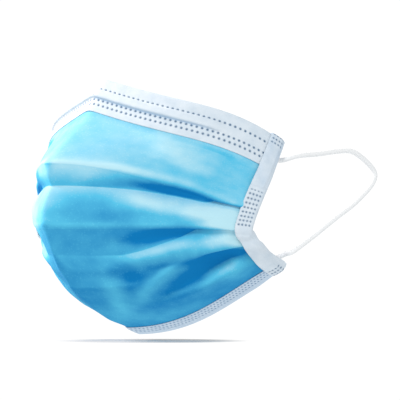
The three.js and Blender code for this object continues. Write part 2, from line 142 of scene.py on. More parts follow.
def foldedSheet(name, grid, cloth, thickness, attributes):
    # A flat grid is cut to size and each of its corners is carried to its place in the folded sheet.
    rows, columns = len(grid), len(grid[0])
    deselectAll()
    bpy.ops.mesh.primitive_grid_add(x_subdivisions=columns - 1, y_subdivisions=rows - 1, size=2)
    piece = bpy.context.object
    piece.name = name
    mesh = piece.data
    mesh.name = name
    places = []
    for vertex in mesh.vertices:
        column = round((vertex.co.x + 1) / 2 * (columns - 1))
        row = round((1 - vertex.co.y) / 2 * (rows - 1))
        places.append((row, column))
    mesh.vertices.foreach_set("co", [value for row, column in places for value in grid[row][column] * mm])
    uv = mesh.uv_layers.active.data
    for loop in mesh.loops:
        row, column = places[loop.vertex_index]
        uv[loop.index].uv = cloth[row][column]
    for key, values in attributes.items():
        attribute = mesh.attributes.new(key, "FLOAT", "POINT")
        attribute.data.foreach_set("value", [values[row][column] for row, column in places])
    mesh.update()
    bpy.ops.object.shade_smooth()
    wall = piece.modifiers.new("wall", "SOLIDIFY")
    wall.thickness = thickness * mm
    wall.offset = 0
    bpy.ops.object.modifier_apply(modifier=wall.name)
    return piece


# Ear loops

loopSetup = {
    "diameter": 2.2,
    "sides": 20,
    "routeStep": 1.0,
    "softening": 3,     # how often the route is evened
    "ringStep": 0.35,
    "ribs": 10,
    "ribTurn": 0.32,    # turns of the ribs per mm of cord
    "ribDepth": 0.025,
}
# Points along the right loop in mm, from its upper tail round the ear to its lower tail.
loopPoints = [
    (55.05, 39.53, -21.83), (58.51, 45.90, -26.26), (62.98, 52.99, -24.41), (65.00, 62.75, -23.65),
    (67.02, 72.99, -22.46), (68.51, 80.03, -22.46), (70.00, 90.03, -28.84), (70.00, 92.35, -31.86),
    (70.00, 91.23, -35.21), (68.51, 81.55, -44.06), (67.02, 72.99, -49.46), (64.03, 57.23, -59.94),
    (62.01, 49.79, -64.58), (58.69, 50.57, -64.88), (52.07, 46.96, -68.79),
]


def buildLoop(name, node, side):
    route = [Vector((x * side, y, z)) for x, y, z in loopPoints]
    path = evened(sampled(route, loopSetup["routeStep"]), loopSetup["softening"])
    path = sampled(path, loopSetup["ringStep"])
    tangents = [(b - a).normalized() for a, b in zip(path, path[1:])]
    tangents.append(tangents[-1])
    across = tangents[0].cross(Vector((0, 0, 1))).normalized()
    vertices, faces = [], []
    sides = loopSetup["sides"]
    travelled = 0
    for index, (point, tangent) in enumerate(zip(path, tangents)):
        if index:
            travelled += (point - path[index - 1]).length
        across = (across - tangent * across.dot(tangent)).normalized()
        up = tangent.cross(across)
        for step in range(sides):
            angle = math.tau * step / sides
            twist = travelled * loopSetup["ribTurn"] * math.tau
            wave = angle * loopSetup["ribs"] / 2
            rib = math.cos(wave + twist) * math.cos(wave - twist)
            radius = loopSetup["diameter"] / 2 + rib * loopSetup["ribDepth"]
            vertices.append((point + (across * math.cos(angle) + up * math.sin(angle)) * radius) * mm)
    for index in range(len(path) - 1):
        for step in range(sides):
            after = (step + 1) % sides
            faces.append((index * sides + step, index * sides + after,
                          (index + 1) * sides + after, (index + 1) * sides + step))
    faces.append(tuple(reversed(range(sides))))
    last = (len(path) - 1) * sides
    faces.append(tuple(range(last, last + sides)))
    mesh = bpy.data.meshes.new(name)
    mesh.from_pydata(vertices, [], faces)
    layer = mesh.uv_layers.new(name="UVMap")
    for polygon in mesh.polygons:
        for corner in polygon.loop_indices:
            vertex = mesh.loops[corner].vertex_index
            layer.data[corner].uv = ((vertex % sides) / sides, (vertex // sides) * loopSetup["ringStep"] * mm)
    mesh.update()
    piece = bpy.data.objects.new(name, mesh)
    bpy.context.collection.objects.link(piece)
    mesh.shade_smooth()
    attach(piece, "root")
    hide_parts(node)
    return piece


loops = [buildLoop("loop_cord_right", "ear_loop_right", 1), buildLoop("loop_cord_left", "ear_loop_left", -1)]
print("ear loops made")


# Shape of the worn cloth: lines across the mask, as in the CAD. Y values are shares of the depth, Z
# values and drops of the height, X values and reaches of the half width, and turns are in degrees.

rowColumns = ("centreY", "centreZ", "centreTurn", "centreReach", "centreDrop",
              "sideX", "sideY", "sideZ", "sideTurn", "sideReach", "sideDrop")
rows = {
    "top": (0, 0, 14, 0.6, -0.107, 0.94, 0.536, -0.242, 66, 0.37, -0.09),
    "band": (-0.11, -0.123, 17, 0.58, -0.215, 0.977, 0.439, -0.338, 60, 0.37, -0.226),
    "fold1": (-0.406, -0.315, 36, 0.52, -0.311, 0.98, 0.313, -0.492, 48, 0.4, -0.449),
    "fold2": (-0.425, -0.561, 36, 0.52, -0.568, 0.962, 0.283, -0.576, 48, 0.4, -0.547),
    "fold3": (-0.312, -0.726, 42, 0.52, -0.757, 0.962, 0.349, -0.626, 48, 0.4, -0.647),
    "chin": (-0.087, -0.869, 42, 0.5, -0.885, 0.938, 0.448, -0.672, 48, 0.37, -0.772),
    "hem": (0.17, -0.945, 46, 0.42, -0.945, 0.923, 0.519, -0.696, 34, 0.34, -0.806),
}
rows = {name: dict(zip(rowColumns, values)) for name, values in rows.items()}
pleatColumns = ("drop", "setBack", "tuck", "closesFrom", "closesAt", "leavesAt", "tuckedAt")
pleats = {
    "fold1": (0.6, 0.35, 0.6, 0, 1.05, 0.74, 0.9),
    "fold2": (1.0, 0.48, 0.4, 0.3, 0.82, 0.62, 0.9),
    "fold3": (0.75, 0.37, 0.3, 0.3, 0.85, 0.66, 0.9),
}
pleats = {name: dict(zip(pleatColumns, values)) for name, values in pleats.items()}
pleatSetup = {
    "closedBack": 1.5,      # how many layers a closed pleat is set back
    "closedDrop": 0.9,      # how much of its drop a pleat loses as it closes
    "ownSide": 0.6,         # the share of the way to the middle that a fold may move in
    "passing": 0.3,         # where the cloth comes out of a pleat, on the way to the next line
}
clothSetup = {
    "ridgeRound": 0.014,        # how much the crease down the middle is blunted, as a share of the width
    "softening": 3,             # how often each line across is evened
    "foldRound": 0.8,
    "openThick": 1.0,
    "seamThick": 0.6,
    "openGap": 0.3,
    "seamGap": 0.2,
    "squeezed": (0.78, 0.89),   # where the layers come together, as shares of the way to the side
    "columns": 190,
    "lineStep": 0.95,
    "guideAt": 0.15,            # the place across where the lines down the cloth are measured
    "acrossStep": 0.01,         # how far apart the places are that give a direction across
    "halfLength": 87,           # from the middle to the side edge along the cloth
    "chinTurn": 0.15,
    "noseBand": 14.6,
    "chinBand": 7.4,
    "bandMargin": 2.5,
    "narrowing": (0.78, 1),     # where the chin band gets narrower,
    "cornerNarrowing": 0.28,    # and how much of its height is lost at its ends
    "formTurn": 45,             # the soft forms stand out so far round from the front, in degrees,
    "formTurnEnd": 0.12,        # from this share of the way to the side
}


def rowPoint(name, across):
    row = rows[name]
    width, depth, height = maskSize["halfWidth"], maskSize["depth"], maskSize["height"]
    share = abs(across)
    blunt = math.sqrt(share * share + clothSetup["ridgeRound"] ** 2)
    centreTurn, sideTurn = math.radians(row["centreTurn"]), math.radians(row["sideTurn"])
    centreReach, sideReach = row["centreReach"] * width, row["sideReach"] * width
    centre = Vector((0, row["centreY"] * depth, row["centreZ"] * height))
    side = Vector((row["sideX"] * width, row["sideY"] * depth, row["sideZ"] * height))
    second = Vector((centreReach * math.cos(centreTurn), centre.y + centreReach * math.sin(centreTurn),
                     row["centreDrop"] * height))
    third = Vector((side.x - sideReach * math.cos(sideTurn), side.y - sideReach * math.sin(sideTurn),
                    row["sideDrop"] * height))

    def along(t):
        rest = 1 - t
        return (centre * rest ** 3 + second * 3 * rest * rest * t
                + third * 3 * rest * t * t + side * t ** 3)

    point = along(blunt)
    point.x = math.copysign(along(share).x, across)
    return point - seat


def outwardAt(upper, lower, across):
    step = clothSetup["acrossStep"]
    left, right = max(-1, across - step), min(1, across + step)
    along = rowPoint(upper, right) - rowPoint(upper, left)
    down = rowPoint(lower, across) - rowPoint(upper, across)
    return down.cross(along).normalized()


def squeezed(across):
    return rising(abs(across), *clothSetup["squeezed"])


def layerAt(across):
    thick = mixed(clothSetup["openThick"], clothSetup["seamThick"], squeezed(across))
    return thick + mixed(clothSetup["openGap"], clothSetup["seamGap"], squeezed(across))


def topAt(across, down, out):
    # A place on the nose band: so far down it and so far out from the cloth.
    top, band = rowPoint("top", across), rowPoint("band", across)
    return top + (band - top).normalized() * down + outwardAt("top", "band", across) * out


def hemAt(across, down, out):
    # A place on the chin band, which goes on from the hem line and turns a little inwards.
    hem, chin = rowPoint("hem", across), rowPoint("chin", across)
    down *= 1 - clothSetup["cornerNarrowing"] * rising(abs(across), *clothSetup["narrowing"])
    step = clothSetup["acrossStep"]
    away = ((hem - chin).normalized() + Vector((0, clothSetup["chinTurn"], 0))).normalized()
    along = rowPoint("hem", min(1, across + step)) - rowPoint("hem", max(-1, across - step))
    return hem + away * down + away.cross(along).normalized() * out


def pleatPoints(name, above, aboveName, nextName, across):
    pleat, depth = pleats[name], maskSize["pleatDepth"]
    share = abs(across)
    fold, after = rowPoint(name, across), rowPoint(nextName, across)
    out = outwardAt(aboveName, name, across)
    up = (above - fold).normalized()
    layer = layerAt(across)
    tucked = rising(share, pleat["leavesAt"], pleat["tuckedAt"])
    closed = rising(share, pleat["closesFrom"], pleat["closesAt"])
    back = out * mixed(pleat["setBack"] * depth, layer * pleatSetup["closedBack"], closed)
    # The pleat stays on its own side of the middle.
    back.x = math.copysign(min(abs(back.x), abs(fold.x) * pleatSetup["ownSide"]), across)
    opened = fold - back
    opened.z -= pleat["drop"] * depth * (1 - closed * pleatSetup["closedDrop"])
    shelf = (opened - fold).normalized()
    onward = (after - opened).normalized()
    hidden = fold + up * pleat["tuck"] * depth
    rounding = clothSetup["foldRound"]
    foldBack = (fold + shelf * rounding).lerp(fold - out * layer, tucked)
    innerUpper = (opened - shelf * rounding * 0.5).lerp(hidden - out * layer, tucked)
    innerLower = (opened + onward * rounding * 0.5).lerp(hidden - out * layer * 2, tucked)
    passing = innerLower.lerp(after, pleatSetup["passing"]).lerp(fold - out * layer * 2, tucked)
    return [foldBack, foldBack.lerp(innerUpper, 0.5), innerUpper, innerLower, passing]


def clothPoints(across):
    # Every line that the cloth passes from its top edge to its bottom edge, at one place across: 0 to 2
    # on the nose band, 3 to 6 down the cheek to the first fold, 13 at the second fold, 20 at the third,
    # 28 at the chin and 34 at the bottom edge.
    fold1, fold2, fold3 = (rowPoint(name, across) for name in ("fold1", "fold2", "fold3"))
    chin, hem = rowPoint("chin", across), rowPoint("hem", across)
    band = clothSetup["noseBand"]
    bandPoints = [topAt(across, band * share, 0) for share in (0, 0.5, 1)]
    cheekTop = topAt(across, band + clothSetup["bandMargin"], 0)
    cheek = [cheekTop.lerp(fold1, share) for share in (0, 0.33, 0.67, 1)]
    pleat1 = pleatPoints("fold1", cheek[2], "band", "fold2", across)
    pleat2 = pleatPoints("fold2", pleat1[4], "fold1", "fold3", across)
    pleat3 = pleatPoints("fold3", pleat2[4], "fold2", "chin", across)
    lowest = [pleat3[4].lerp(chin, share) for share in (0.33, 0.67, 1)]
    lowest += [chin.lerp(hem, share) for share in (0.33, 0.67, 0.92)]
    hemPoints = [hemAt(across, clothSetup["chinBand"] * share, 0) for share in (0.15, 0.6, 1)]
    return (bandPoints + cheek + pleat1 + [pleat1[4].lerp(fold2, 0.5), fold2]
            + pleat2 + [pleat2[4].lerp(fold3, 0.5), fold3] + pleat3 + lowest + hemPoints)


# Soft forms over the cloth. Each has a width and a path on the cloth, in mm from the nose seat, and each
# place on the path says how high the form stands there and how much painted light it puts on the cloth there.
# Hollows and painted shade are below zero. A path that starts left of the middle isn't mirrored.
softForms = [
    # width, (x, y, z, height, painted light and shade) along the path
    # crest of the third fold, with a painted highlight
    (3.0, ((60.5, 26.9, -59.4, 2.2, 0.9), (54.6, 19.2, -60.2, 2.4, 0.65), (48.0, 11.4, -62.5, 2.4, 0.45),
           (38.3, 3.7, -64.2, 2.0, 0.4), (27.1, -3.0, -67.5, 1.2, 0.24), (16.6, -9.9, -71.3, 0.5, -0.15))),
    # hollow under the second fold, with painted shade
    (3.0, ((53.4, 14.1, -54.5, -0.3, -0.2), (44.2, 7.0, -56.0, -0.9, -0.5), (32.4, -2.8, -58.2, -1.0, -0.5),
           (21.0, -11.4, -60.7, -0.3, 0.1))),
    # line under the crest, with painted shade
    (1.6, ((57.0, 28.7, -63.4, -0.6, -0.3), (47.3, 21.3, -65.7, -0.7, -0.5), (40.8, 12.2, -68.2, -0.5, -0.3),
           (28.6, 1.3, -71.1, -0.3, -0.15))),
    # hollow that runs to the chin, with painted shade
    (3.4, ((54.0, 25.9, -65.5, -1.6, -0.3), (45.3, 21.3, -68.2, -2.6, -0.5), (36.2, 17.2, -73.9, -2.6, -0.5),
           (28.3, 13.2, -79.3, -1.8, -0.17), (20.8, 10.2, -84.3, -0.6, -0.02))),
    # ridge on its left
    (2.5, ((42.7, 13.6, -66.9, 0.6, 0.1), (36.9, 8.2, -70.8, 1.6, 0.26), (29.6, 5.4, -76.5, 1.8, 0.3),
           (21.9, 5.3, -81.6, 1.2, 0.26), (15.1, 6.3, -86.0, 0.4, 0.1))),
    # ridge on its right
    (2.6, ((56.5, 28.8, -64.3, 0.8, 0.1), (51.6, 26.6, -71.0, 1.5, 0.26), (44.8, 23.2, -76.6, 1.3, 0.22),
           (35.2, 21.5, -81.9, 0.4, 0.05))),
    # flat by the binding
    (4.0, ((55.3, 31.6, -69.1, 0.4, 0.15), (50.4, 30.5, -73.2, 0.4, 0.2))),
    # hollow left of the ridges
    (3.6, ((17.7, -6.2, -74.2, -0.6, -0.1), (21.2, -2.1, -75.5, -1.0, -0.25),
           (26.4, 2.5, -75.5, -0.4, -0.1))),
    # upright ridge beside the middle
    (3.4, ((15.6, -13.9, -66.1, 0.2, 0.0), (15.5, -10.7, -72.0, 0.9, 0.16), (13.8, -6.2, -79.2, 1.1, 0.26),
           (9.3, 4.5, -87.8, 0.4, 0.3))),
    # above the chin
    (4.0, ((6.6, 10.4, -90.4, 0.3, 0.2), (14.2, 21.3, -91.0, 0.5, 0.18), (28.9, 28.1, -86.0, 0.3, 0.1))),
    # rounds the middle between the chin and the hem
    (5.0, ((0.0, 2.5, -90.4, 1.0, 0.14), (0.0, 9.0, -92.6, 2.0, 0.1))),
    # middle panel, left, with painted shade
    (6.0, ((3.3, -27.9, -43.4, -0.3, -0.25), (14.7, -19.5, -43.5, -0.5, -0.32),
           (26.3, -12.2, -49.5, -0.2, -0.2))),
    # stroke of painted light across the middle panel
    (3.2, ((21.2, -12.0, -38.9, 0.3, 0.05), (30.2, -5.8, -43.3, 1.3, 0.36), (43.8, 3.1, -47.3, 1.4, 0.3),
           (56.9, 20.2, -49.8, 1.0, 0.45))),
    # painted light at the bright end of that panel
    (3.6, ((42.6, 2.4, -50.2, 0.1, 0.05), (50.6, 11.0, -50.7, 0.4, 0.4), (57.2, 19.3, -52.1, 0.4, 0.6))),
    # painted shade inside the first fold
    (2.0, ((15.1, -16.9, -35.6, 0.0, -0.05), (22.9, -11.2, -36.6, -0.4, -0.25),
           (35.7, 0.2, -38.4, -0.6, -0.4), (48.1, 10.8, -40.8, -0.5, -0.4), (56.5, 19.2, -44.0, -0.2, -0.3))),
    # first fold, pulled open, with painted light
    (4.6, ((2.5, -27.3, -32.9, 1.0, 0.36), (13.1, -19.2, -33.5, 1.2, 0.44), (22.2, -12.0, -34.1, 0.6, 0.22),
           (32.7, -3.2, -35.6, 0.0, 0.05))),
    # rim of the first fold, with a painted highlight
    (1.5, ((3.0, -28.0, -28.1, 0.2, 0.3), (23.8, -11.7, -29.8, 0.3, 0.35), (42.4, 3.8, -35.2, 0.3, 0.35),
           (57.2, 19.9, -43.9, 0.2, 0.35))),
    # hollow at the right of the cheek, with a little painted shade
    (7.0, ((38.4, 10.0, -16.5, -0.3, 0.04), (51.6, 20.0, -22.9, -0.7, -0.02),
           (57.2, 23.2, -34.8, -0.3, 0.02))),
    # painted shade at the left of the cheek
    (9.0, ((5.0, -15.0, -14.0, 0.0, -0.08), (8.0, -17.0, -21.0, 0.0, -0.03))),
    # stroke of painted light down the cheek
    (4.2, ((25.9, 3.6, -12.4, 0.5, 0.0), (35.8, 3.1, -21.1, 1.0, 0.18), (45.1, 7.9, -29.7, 0.9, 0.24),
           (51.6, 15.0, -34.3, 0.2, 0.05))),
    # rim of the second fold, with a painted highlight
    (1.1, ((3.2, -30.4, -53.3, 0.2, 0.25), (24.8, -12.9, -53.3, 0.2, 0.25), (46.7, 6.9, -53.4, 0.2, 0.3),
           (58.2, 20.2, -53.4, 0.2, 0.3))),
    # left cheek, pressed in
    (7.0, ((-36.0, 3.0, -20.0, -1.8, 0.1), (-41.5, 5.0, -26.9, -4.2, 0.1),
           (-44.5, 7.0, -31.0, -2.0, 0.1), (-46.0, 8.0, -35.0, -0.4, 0.0))),
    # third fold on the left, which is flatter
    (3.0, ((-54.6, 19.2, -60.2, -1.6, 0.0), (-48.0, 11.4, -62.5, -2.2, 0.0),
           (-38.3, 3.7, -64.2, -2.0, 0.0))),
    # two hollows left of the middle, between the third fold and the chin
    (5.5, ((-0.5, -21.0, -79.0, -2.0, 0.0), (-14.0, -6.5, -79.2, -1.4, 0.0))),
    (4.0, ((-0.5, -5.9, -87.9, -1.1, 0.0), (-12.0, 5.5, -87.6, -0.8, 0.0))),
    # first fold on the left
    (4.0, ((-4.0, -26.0, -33.5, 0.2, -0.05), (-14.0, -19.0, -34.5, 0.8, -0.1),
           (-30.0, -6.0, -37.0, 0.5, -0.05))),
    # middle panel on the left, which catches the light
    (6.5, ((-4.0, -27.5, -45.0, 0.0, 0.35), (-16.0, -19.0, -48.5, 0.0, 0.6), (-34.0, -5.0, -50.0, 0.0, 0.6))),
]
softForms = [
    (width, [(Vector(spot[:3]), spot[3], spot[4]) for spot in path], path[0][0] < 0)
    for width, path in softForms
]
formSetup = {
    "reach": 2.8,               # how many widths away from its path a form ends
    "toneSpread": 1.3,          # how much wider its painted light and shade is than its height
    "free": (2.6, 3.4),         # lines of the cloth where it comes free of the nose band
    "held": (30.4, 31.4),       # and where the chin band holds it again
    "fade": (0.82, 0.92),       # where the forms end, as shares of the way to the side
}
# Broad swells between two lines of the cloth.
swellColumns = ("fromLine", "toLine", "height", "centre", "spread")
swells = [
    (3, 6, 1.6, 0.55, 0.5),
    (10, 13, 2.8, 0.1, 0.9),
    (17, 20, 1.2, 0.6, 0.35),
]
swells = [dict(zip(swellColumns, values)) for values in swells]
swellFade = (0.65, 0.85)
wrinkleSetup = {
    "broad": {"height": 0.5, "size": (22, 22), "seed": 3.7},
    "fine": {"height": 0.16, "size": (16, 4.5), "seed": 9.1},
    "looseFade": (0.66, 0.86),
    "gathered": {"height": 0.1, "size": (14, 2.6), "seed": 5.3},
    "gatherStart": (0.5, 0.7),
    "gatherFade": (0.84, 0.92),
}


def formAt(point):
    # How high the soft forms stand at a point, and the painted light and shade they put there.
    mirrored = Vector((abs(point.x), point.y, point.z))
    total, paintedLighter = 0, 0
    for width, path, oneSide in softForms:
        spot = point if oneSide else mirrored
        nearest, height, tone = formSetup["reach"] * width, 0, 0
        for (start, startHeight, startTone), (end, endHeight, endTone) in zip(path, path[1:]):
            run = end - start
            share = min(1, max(0, (spot - start).dot(run) / run.length_squared))
            off = (spot - start - run * share).length
            if off < nearest:
                nearest, height = off, mixed(startHeight, endHeight, share)
                tone = mixed(startTone, endTone, share)
        total += height * hump(nearest, 0, width)
        paintedLighter += tone * hump(nearest, 0, width * formSetup["toneSpread"])
    return total, paintedLighter


def softHeight(point, across, line, alongCloth, downCloth):
    # How far the swells, the soft forms and the small wrinkles lift the cloth at one place.
    share = abs(across)
    rise = 0
    for swell in swells:
        if swell["fromLine"] < line < swell["toLine"]:
            part = (line - swell["fromLine"]) / (swell["toLine"] - swell["fromLine"])
            fading = hump(share, swell["centre"], swell["spread"]) * (1 - rising(share, *swellFade))
            rise += swell["height"] * math.sin(math.pi * part) * fading
    free = rising(line, *formSetup["free"]) * (1 - rising(line, *formSetup["held"]))
    loose = free * (1 - rising(share, *wrinkleSetup["looseFade"]))
    rise += formAt(point)[0] * free * (1 - rising(share, *formSetup["fade"]))
    rise += noiseAt(wrinkleSetup["broad"], alongCloth, downCloth) * loose
    rise += noiseAt(wrinkleSetup["fine"], alongCloth, downCloth) * loose
    gathered = rising(share, *wrinkleSetup["gatherStart"]) * (1 - rising(share, *wrinkleSetup["gatherFade"]))
    rise += noiseAt(wrinkleSetup["gathered"], alongCloth, downCloth) * gathered * free
    return rise


def standOff(across):
    # The way out from the face, level and the same for every layer of a pleat.
    turn = math.radians(clothSetup["formTurn"]) * rising(abs(across), 0, clothSetup["formTurnEnd"])
    return Vector((math.copysign(math.sin(turn), across), -math.cos(turn), 0))


def clothGrid():
    columns = clothSetup["columns"]
    acrossList = [(column / (columns - 1)) * 2 - 1 for column in range(columns)]
    places = placesAlong(clothPoints(clothSetup["guideAt"]), clothSetup["lineStep"], 3)
    lines = [clothPoints(across) for across in acrossList]
    grid = [[splinePoint(points, place) for points in lines] for place in places]
    middle = columns // 2
    clothX = [across * clothSetup["halfLength"] for across in acrossList]
    clothY = [0.0]
    for row in range(1, len(grid)):
        clothY.append(clothY[-1] + (grid[row][middle] - grid[row - 1][middle]).length)
    return acrossList, places, grid, clothX, clothY


def gridNormals(grid):
    rowCount, columnCount = len(grid), len(grid[0])
    normals = []
    for row in range(rowCount):
        above, below = grid[max(0, row - 1)], grid[min(rowCount - 1, row + 1)]
        line = []
        for column in range(columnCount):
            left, right = max(0, column - 1), min(columnCount - 1, column + 1)
            along = grid[row][right] - grid[row][left]
            down = below[column] - above[column]
            line.append(down.cross(along).normalized())
        normals.append(line)
    return normals


acrossList, linePlaces, clothRows, clothX, clothY = clothGrid()
# The soft forms' painted light and shade at each point of the cloth.
paintedFormShading = [[formAt(point)[1] for point in line] for line in clothRows]
clothRows = [
    [point + standOff(acrossList[column])
     * softHeight(point, acrossList[column], linePlaces[row], clothX[column], clothY[row])
     for column, point in enumerate(line)]
    for row, line in enumerate(clothRows)
]
clothRows = [evened(line, clothSetup["softening"]) for line in clothRows]
normals = gridNormals(clothRows)
print("cloth shaped:", len(clothRows), "by", len(clothRows[0]))


plySetup = {
    "offset": 0.22,
    "thickness": 0.24,
    "seamOffset": 0.6,          # the share of the offset that is left at the seams
    "flat": (0.175, 0.155),     # in metres
    "paintedShadeFacingDown": 0.12,            # painted shade where the cloth faces down, and how much lighter the painted light makes it where it faces up
    "paintedLighter": 0.64,              # and how much paler it is where it faces up
    "facing": (-0.9, 0.8),
}


# Painted light and shade: lighter where the cloth faces up, deeper where it faces down, plus the soft forms'
# painted light and shade.
def paintedLightAndShade(row, column):
    facing = rising(normals[row][column].z, *plySetup["facing"])
    return plySetup["paintedShadeFacingDown"] + facing * plySetup["paintedLighter"] + paintedFormShading[row][column]


def buildPly(name, offset):
    offsets = [offset * mixed(1, plySetup["seamOffset"], squeezed(across)) for across in acrossList]
    grid = []
    for row, line in enumerate(clothRows):
        grid.append([point + normals[row][column] * offsets[column] for column, point in enumerate(line)])
    cloth = [[(x * mm, -y * mm) for x in clothX] for y in clothY]
    paintedShading = [[paintedLightAndShade(row, column) for column in range(len(clothX))] for row in range(len(clothY))]
    piece = foldedSheet(name, grid, cloth, plySetup["thickness"], {"paintedShading": paintedShading})
    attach(piece, "root")
    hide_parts("pleated_panel")
    return piece


outerPly = buildPly("outer_ply", plySetup["offset"])
innerPly = buildPly("inner_ply", -plySetup["offset"])
print("plies made")


# White tapes

tapeSetup = {
    "thickness": 0.3,
    "step": 0.33,
    "front": 0.72,
    "back": -0.72,
    "edgeOut": 0.52,            # how far out from the cloth a tape's welded edge lies
    "foldBend": (0.7, 0.75),    # where a fold bends, as shares of its reach and of the front
    "weldDepth": 0.16,
    "dotSlope": (0.45, 1.2),    # where a dot's wall starts and ends, in radii
    "measures": 400,            # how many parts a line across is measured in
}


def weldDepth(alongTape, acrossTape, setup):
    # How deep a place on the tape lies in a welded dot, from 0 to 1.
    depth = 0
    for number, dotRow in enumerate(setup["dotRows"]):
        step = (alongTape / setup["dotSpacing"] + number * setup["stagger"]) % 1 - 0.5
        away = math.hypot(step * setup["dotSpacing"], acrossTape - dotRow) / setup["dotRadius"]
        depth = max(depth, 1 - rising(away, *tapeSetup["dotSlope"]))
    return depth


def tapeGrid(sections, stations, placeAt, setup):
    # Each section is the tape's path at one station, as (down, out) points.
    grid, cloth, weld = ([[] for row in sections[0]] for table in range(3))
    for section, (across, along) in zip(sections, stations):
        travelled = 0
        for row, spot in enumerate(section):
            if row:
                travelled += (spot - section[row - 1]).length
            depth = weldDepth(along, spot.x, setup) if spot.y >= 0 else 0
            out = spot.y - depth * tapeSetup["weldDepth"] if spot.y > 0 else spot.y
            grid[row].append(placeAt(across, spot.x, out))
            cloth[row].append((along * mm, travelled * mm))
            weld[row].append(depth)
    return grid, cloth, weld


def addTape(name, node, grid, cloth, weld, tint):
    piece = foldedSheet(name, grid, cloth, tapeSetup["thickness"], {"weld": weld, "tint": tint})
    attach(piece, "root")
    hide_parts(node)
    return piece


def evenAcross(end, lineAt):
    # Places across the mask that lie about one step apart along a line, and how far along each one is.
    parts = tapeSetup["measures"]
    fine = [index / parts * end for index in range(parts + 1)]
    lengths = [0.0]
    points = [lineAt(across) for across in fine]
    for first, second in zip(points, points[1:]):
        lengths.append(lengths[-1] + (second - first).length)
    count = round(lengths[-1] / tapeSetup["step"])
    half = [(0.0, 0.0)]
    index = 0
    for number in range(1, count + 1):
        wanted = lengths[-1] * number / count
        while index < parts - 1 and lengths[index + 1] < wanted:
            index += 1
        share = (wanted - lengths[index]) / (lengths[index + 1] - lengths[index])
        half.append((mixed(fine[index], fine[index + 1], share), wanted))
    return [(-across, -length) for across, length in reversed(half[1:])] + half


def asGuide(corners):
    return [Vector((down, out, 0)) for down, out in corners]


def foldOver(edge, reach, front, back):
    # The corners round a folded edge, from the front of the tape to its back.
    bend, height = tapeSetup["foldBend"]
    return [(edge + reach * bend, front * height), (edge + reach, 0), (edge + reach * bend, back * height)]


noseSetup = {
    "height": 14.6,
    "edgeWidth": 2,
    "inside": 9,                # how far down its back part reaches
    "end": 0.955,
    "foldFrom": 0.4,
    "foldOut": -1.15,
    "channelTop": 4.75,
    "channelBottom": 7.85,
    "channelRise": 1.1,
    "channelCrown": 1.12,       # how much higher the channel is along its middle
    "channelSlope": 0.5,
    "channelEnds": (52, 60),
    "dotRows": (3.9, 9.0, 11.3),
    "dotSpacing": 2.25,
    "dotRadius": 0.65,
    "stagger": 0.5,
    "tint": 0.6,                # painted shadow line under the channel, blue like the cloth that shows through there, on the right half only
    "shadowLineBelow": 0.45,
    "shadowLineSpread": 0.3,
    "shadowLineEnds": (44, 58),
}


def noseGuide(fromMiddle):
    # From the lower edge up over the channel, over the top fold and down behind.
    rise = noseSetup["channelRise"] * (1 - rising(abs(fromMiddle), *noseSetup["channelEnds"]))
    front, back, slope = tapeSetup["front"], tapeSetup["back"], noseSetup["channelSlope"]
    low, top, bottom = noseSetup["height"], noseSetup["channelTop"], noseSetup["channelBottom"]
    corners = [
        (low, tapeSetup["edgeOut"]), (low - noseSetup["edgeWidth"], front), (bottom + slope, front),
        (bottom, front + rise), ((top + bottom) / 2, front + rise * noseSetup["channelCrown"]),
        (top, front + rise), (top - slope, front), (noseSetup["foldFrom"], front),
    ]
    corners += foldOver(0, noseSetup["foldOut"], front, back)
    corners += [(noseSetup["foldFrom"], back), (noseSetup["inside"], back)]
    return asGuide(corners)


# A painted shadow line just under the channel's lower edge, on the right half, fading out towards its ends.
def noseChannelShadow(across, along, spot):
    if across <= 0 or spot.y <= 0:
        return 0
    shown = hump(spot.x, noseSetup["channelBottom"] + noseSetup["shadowLineBelow"], noseSetup["shadowLineSpread"])
    return shown * noseSetup["tint"] * (1 - rising(along, *noseSetup["shadowLineEnds"]))


def buildNoseTape():
    def channelLine(across):
        return topAt(across, noseSetup["channelTop"], 0)

    stations = evenAcross(noseSetup["end"], channelLine)
    places = placesAlong(noseGuide(0), tapeSetup["step"], 2)
    sections = []
    for across, along in stations:
        guide = noseGuide(along)
        sections.append([splinePoint(guide, place) for place in places])
    grid, cloth, weld = tapeGrid(sections, stations, topAt, noseSetup)
    tint = []
    for row in range(len(places)):
        tint.append([noseChannelShadow(*station, section[row]) for station, section in zip(stations, sections)])
    return addTape("nose_tape", "nose_band", grid, cloth, weld, tint)


noseTape = buildNoseTape()
chinSetup = {
    "height": 7.4,
    "edgeWidth": 1.5,
    "inside": 6,                # how far up its back part reaches
    "end": 0.955,
    "front": 0.8,
    "foldFrom": 0.3,
    "foldOut": 1.15,
    "measuredAt": 3,            # how far down the band its length is measured
    "dotRows": (1.1, 2.8, 4.5),
    "dotSpacing": 1.65,
    "dotRadius": 0.5,
    "stagger": 0.5,
    "tint": 0.3,
}


def buildChinTape():
    def bandLine(across):
        return hemAt(across, chinSetup["measuredAt"], 0)

    stations = evenAcross(chinSetup["end"], bandLine)
    front, low = chinSetup["front"], chinSetup["height"]
    # From the upper edge down the front, round the bottom fold and up behind.
    bent = low - chinSetup["foldFrom"]
    corners = [(0, tapeSetup["edgeOut"]), (chinSetup["edgeWidth"], front), (bent, front)]
    corners += foldOver(low, chinSetup["foldOut"], front, -front)
    corners += [(bent, -front), (low - chinSetup["inside"], -front)]
    guide = asGuide(corners)
    section = [splinePoint(guide, place) for place in placesAlong(guide, tapeSetup["step"], 2)]
    sections = [section[::-1] for station in stations]
    grid, cloth, weld = tapeGrid(sections, stations, hemAt, chinSetup)
    tint = [[chinSetup["tint"] for value in line] for line in weld]
    return addTape("chin_tape", "chin_band", grid, cloth, weld, tint)


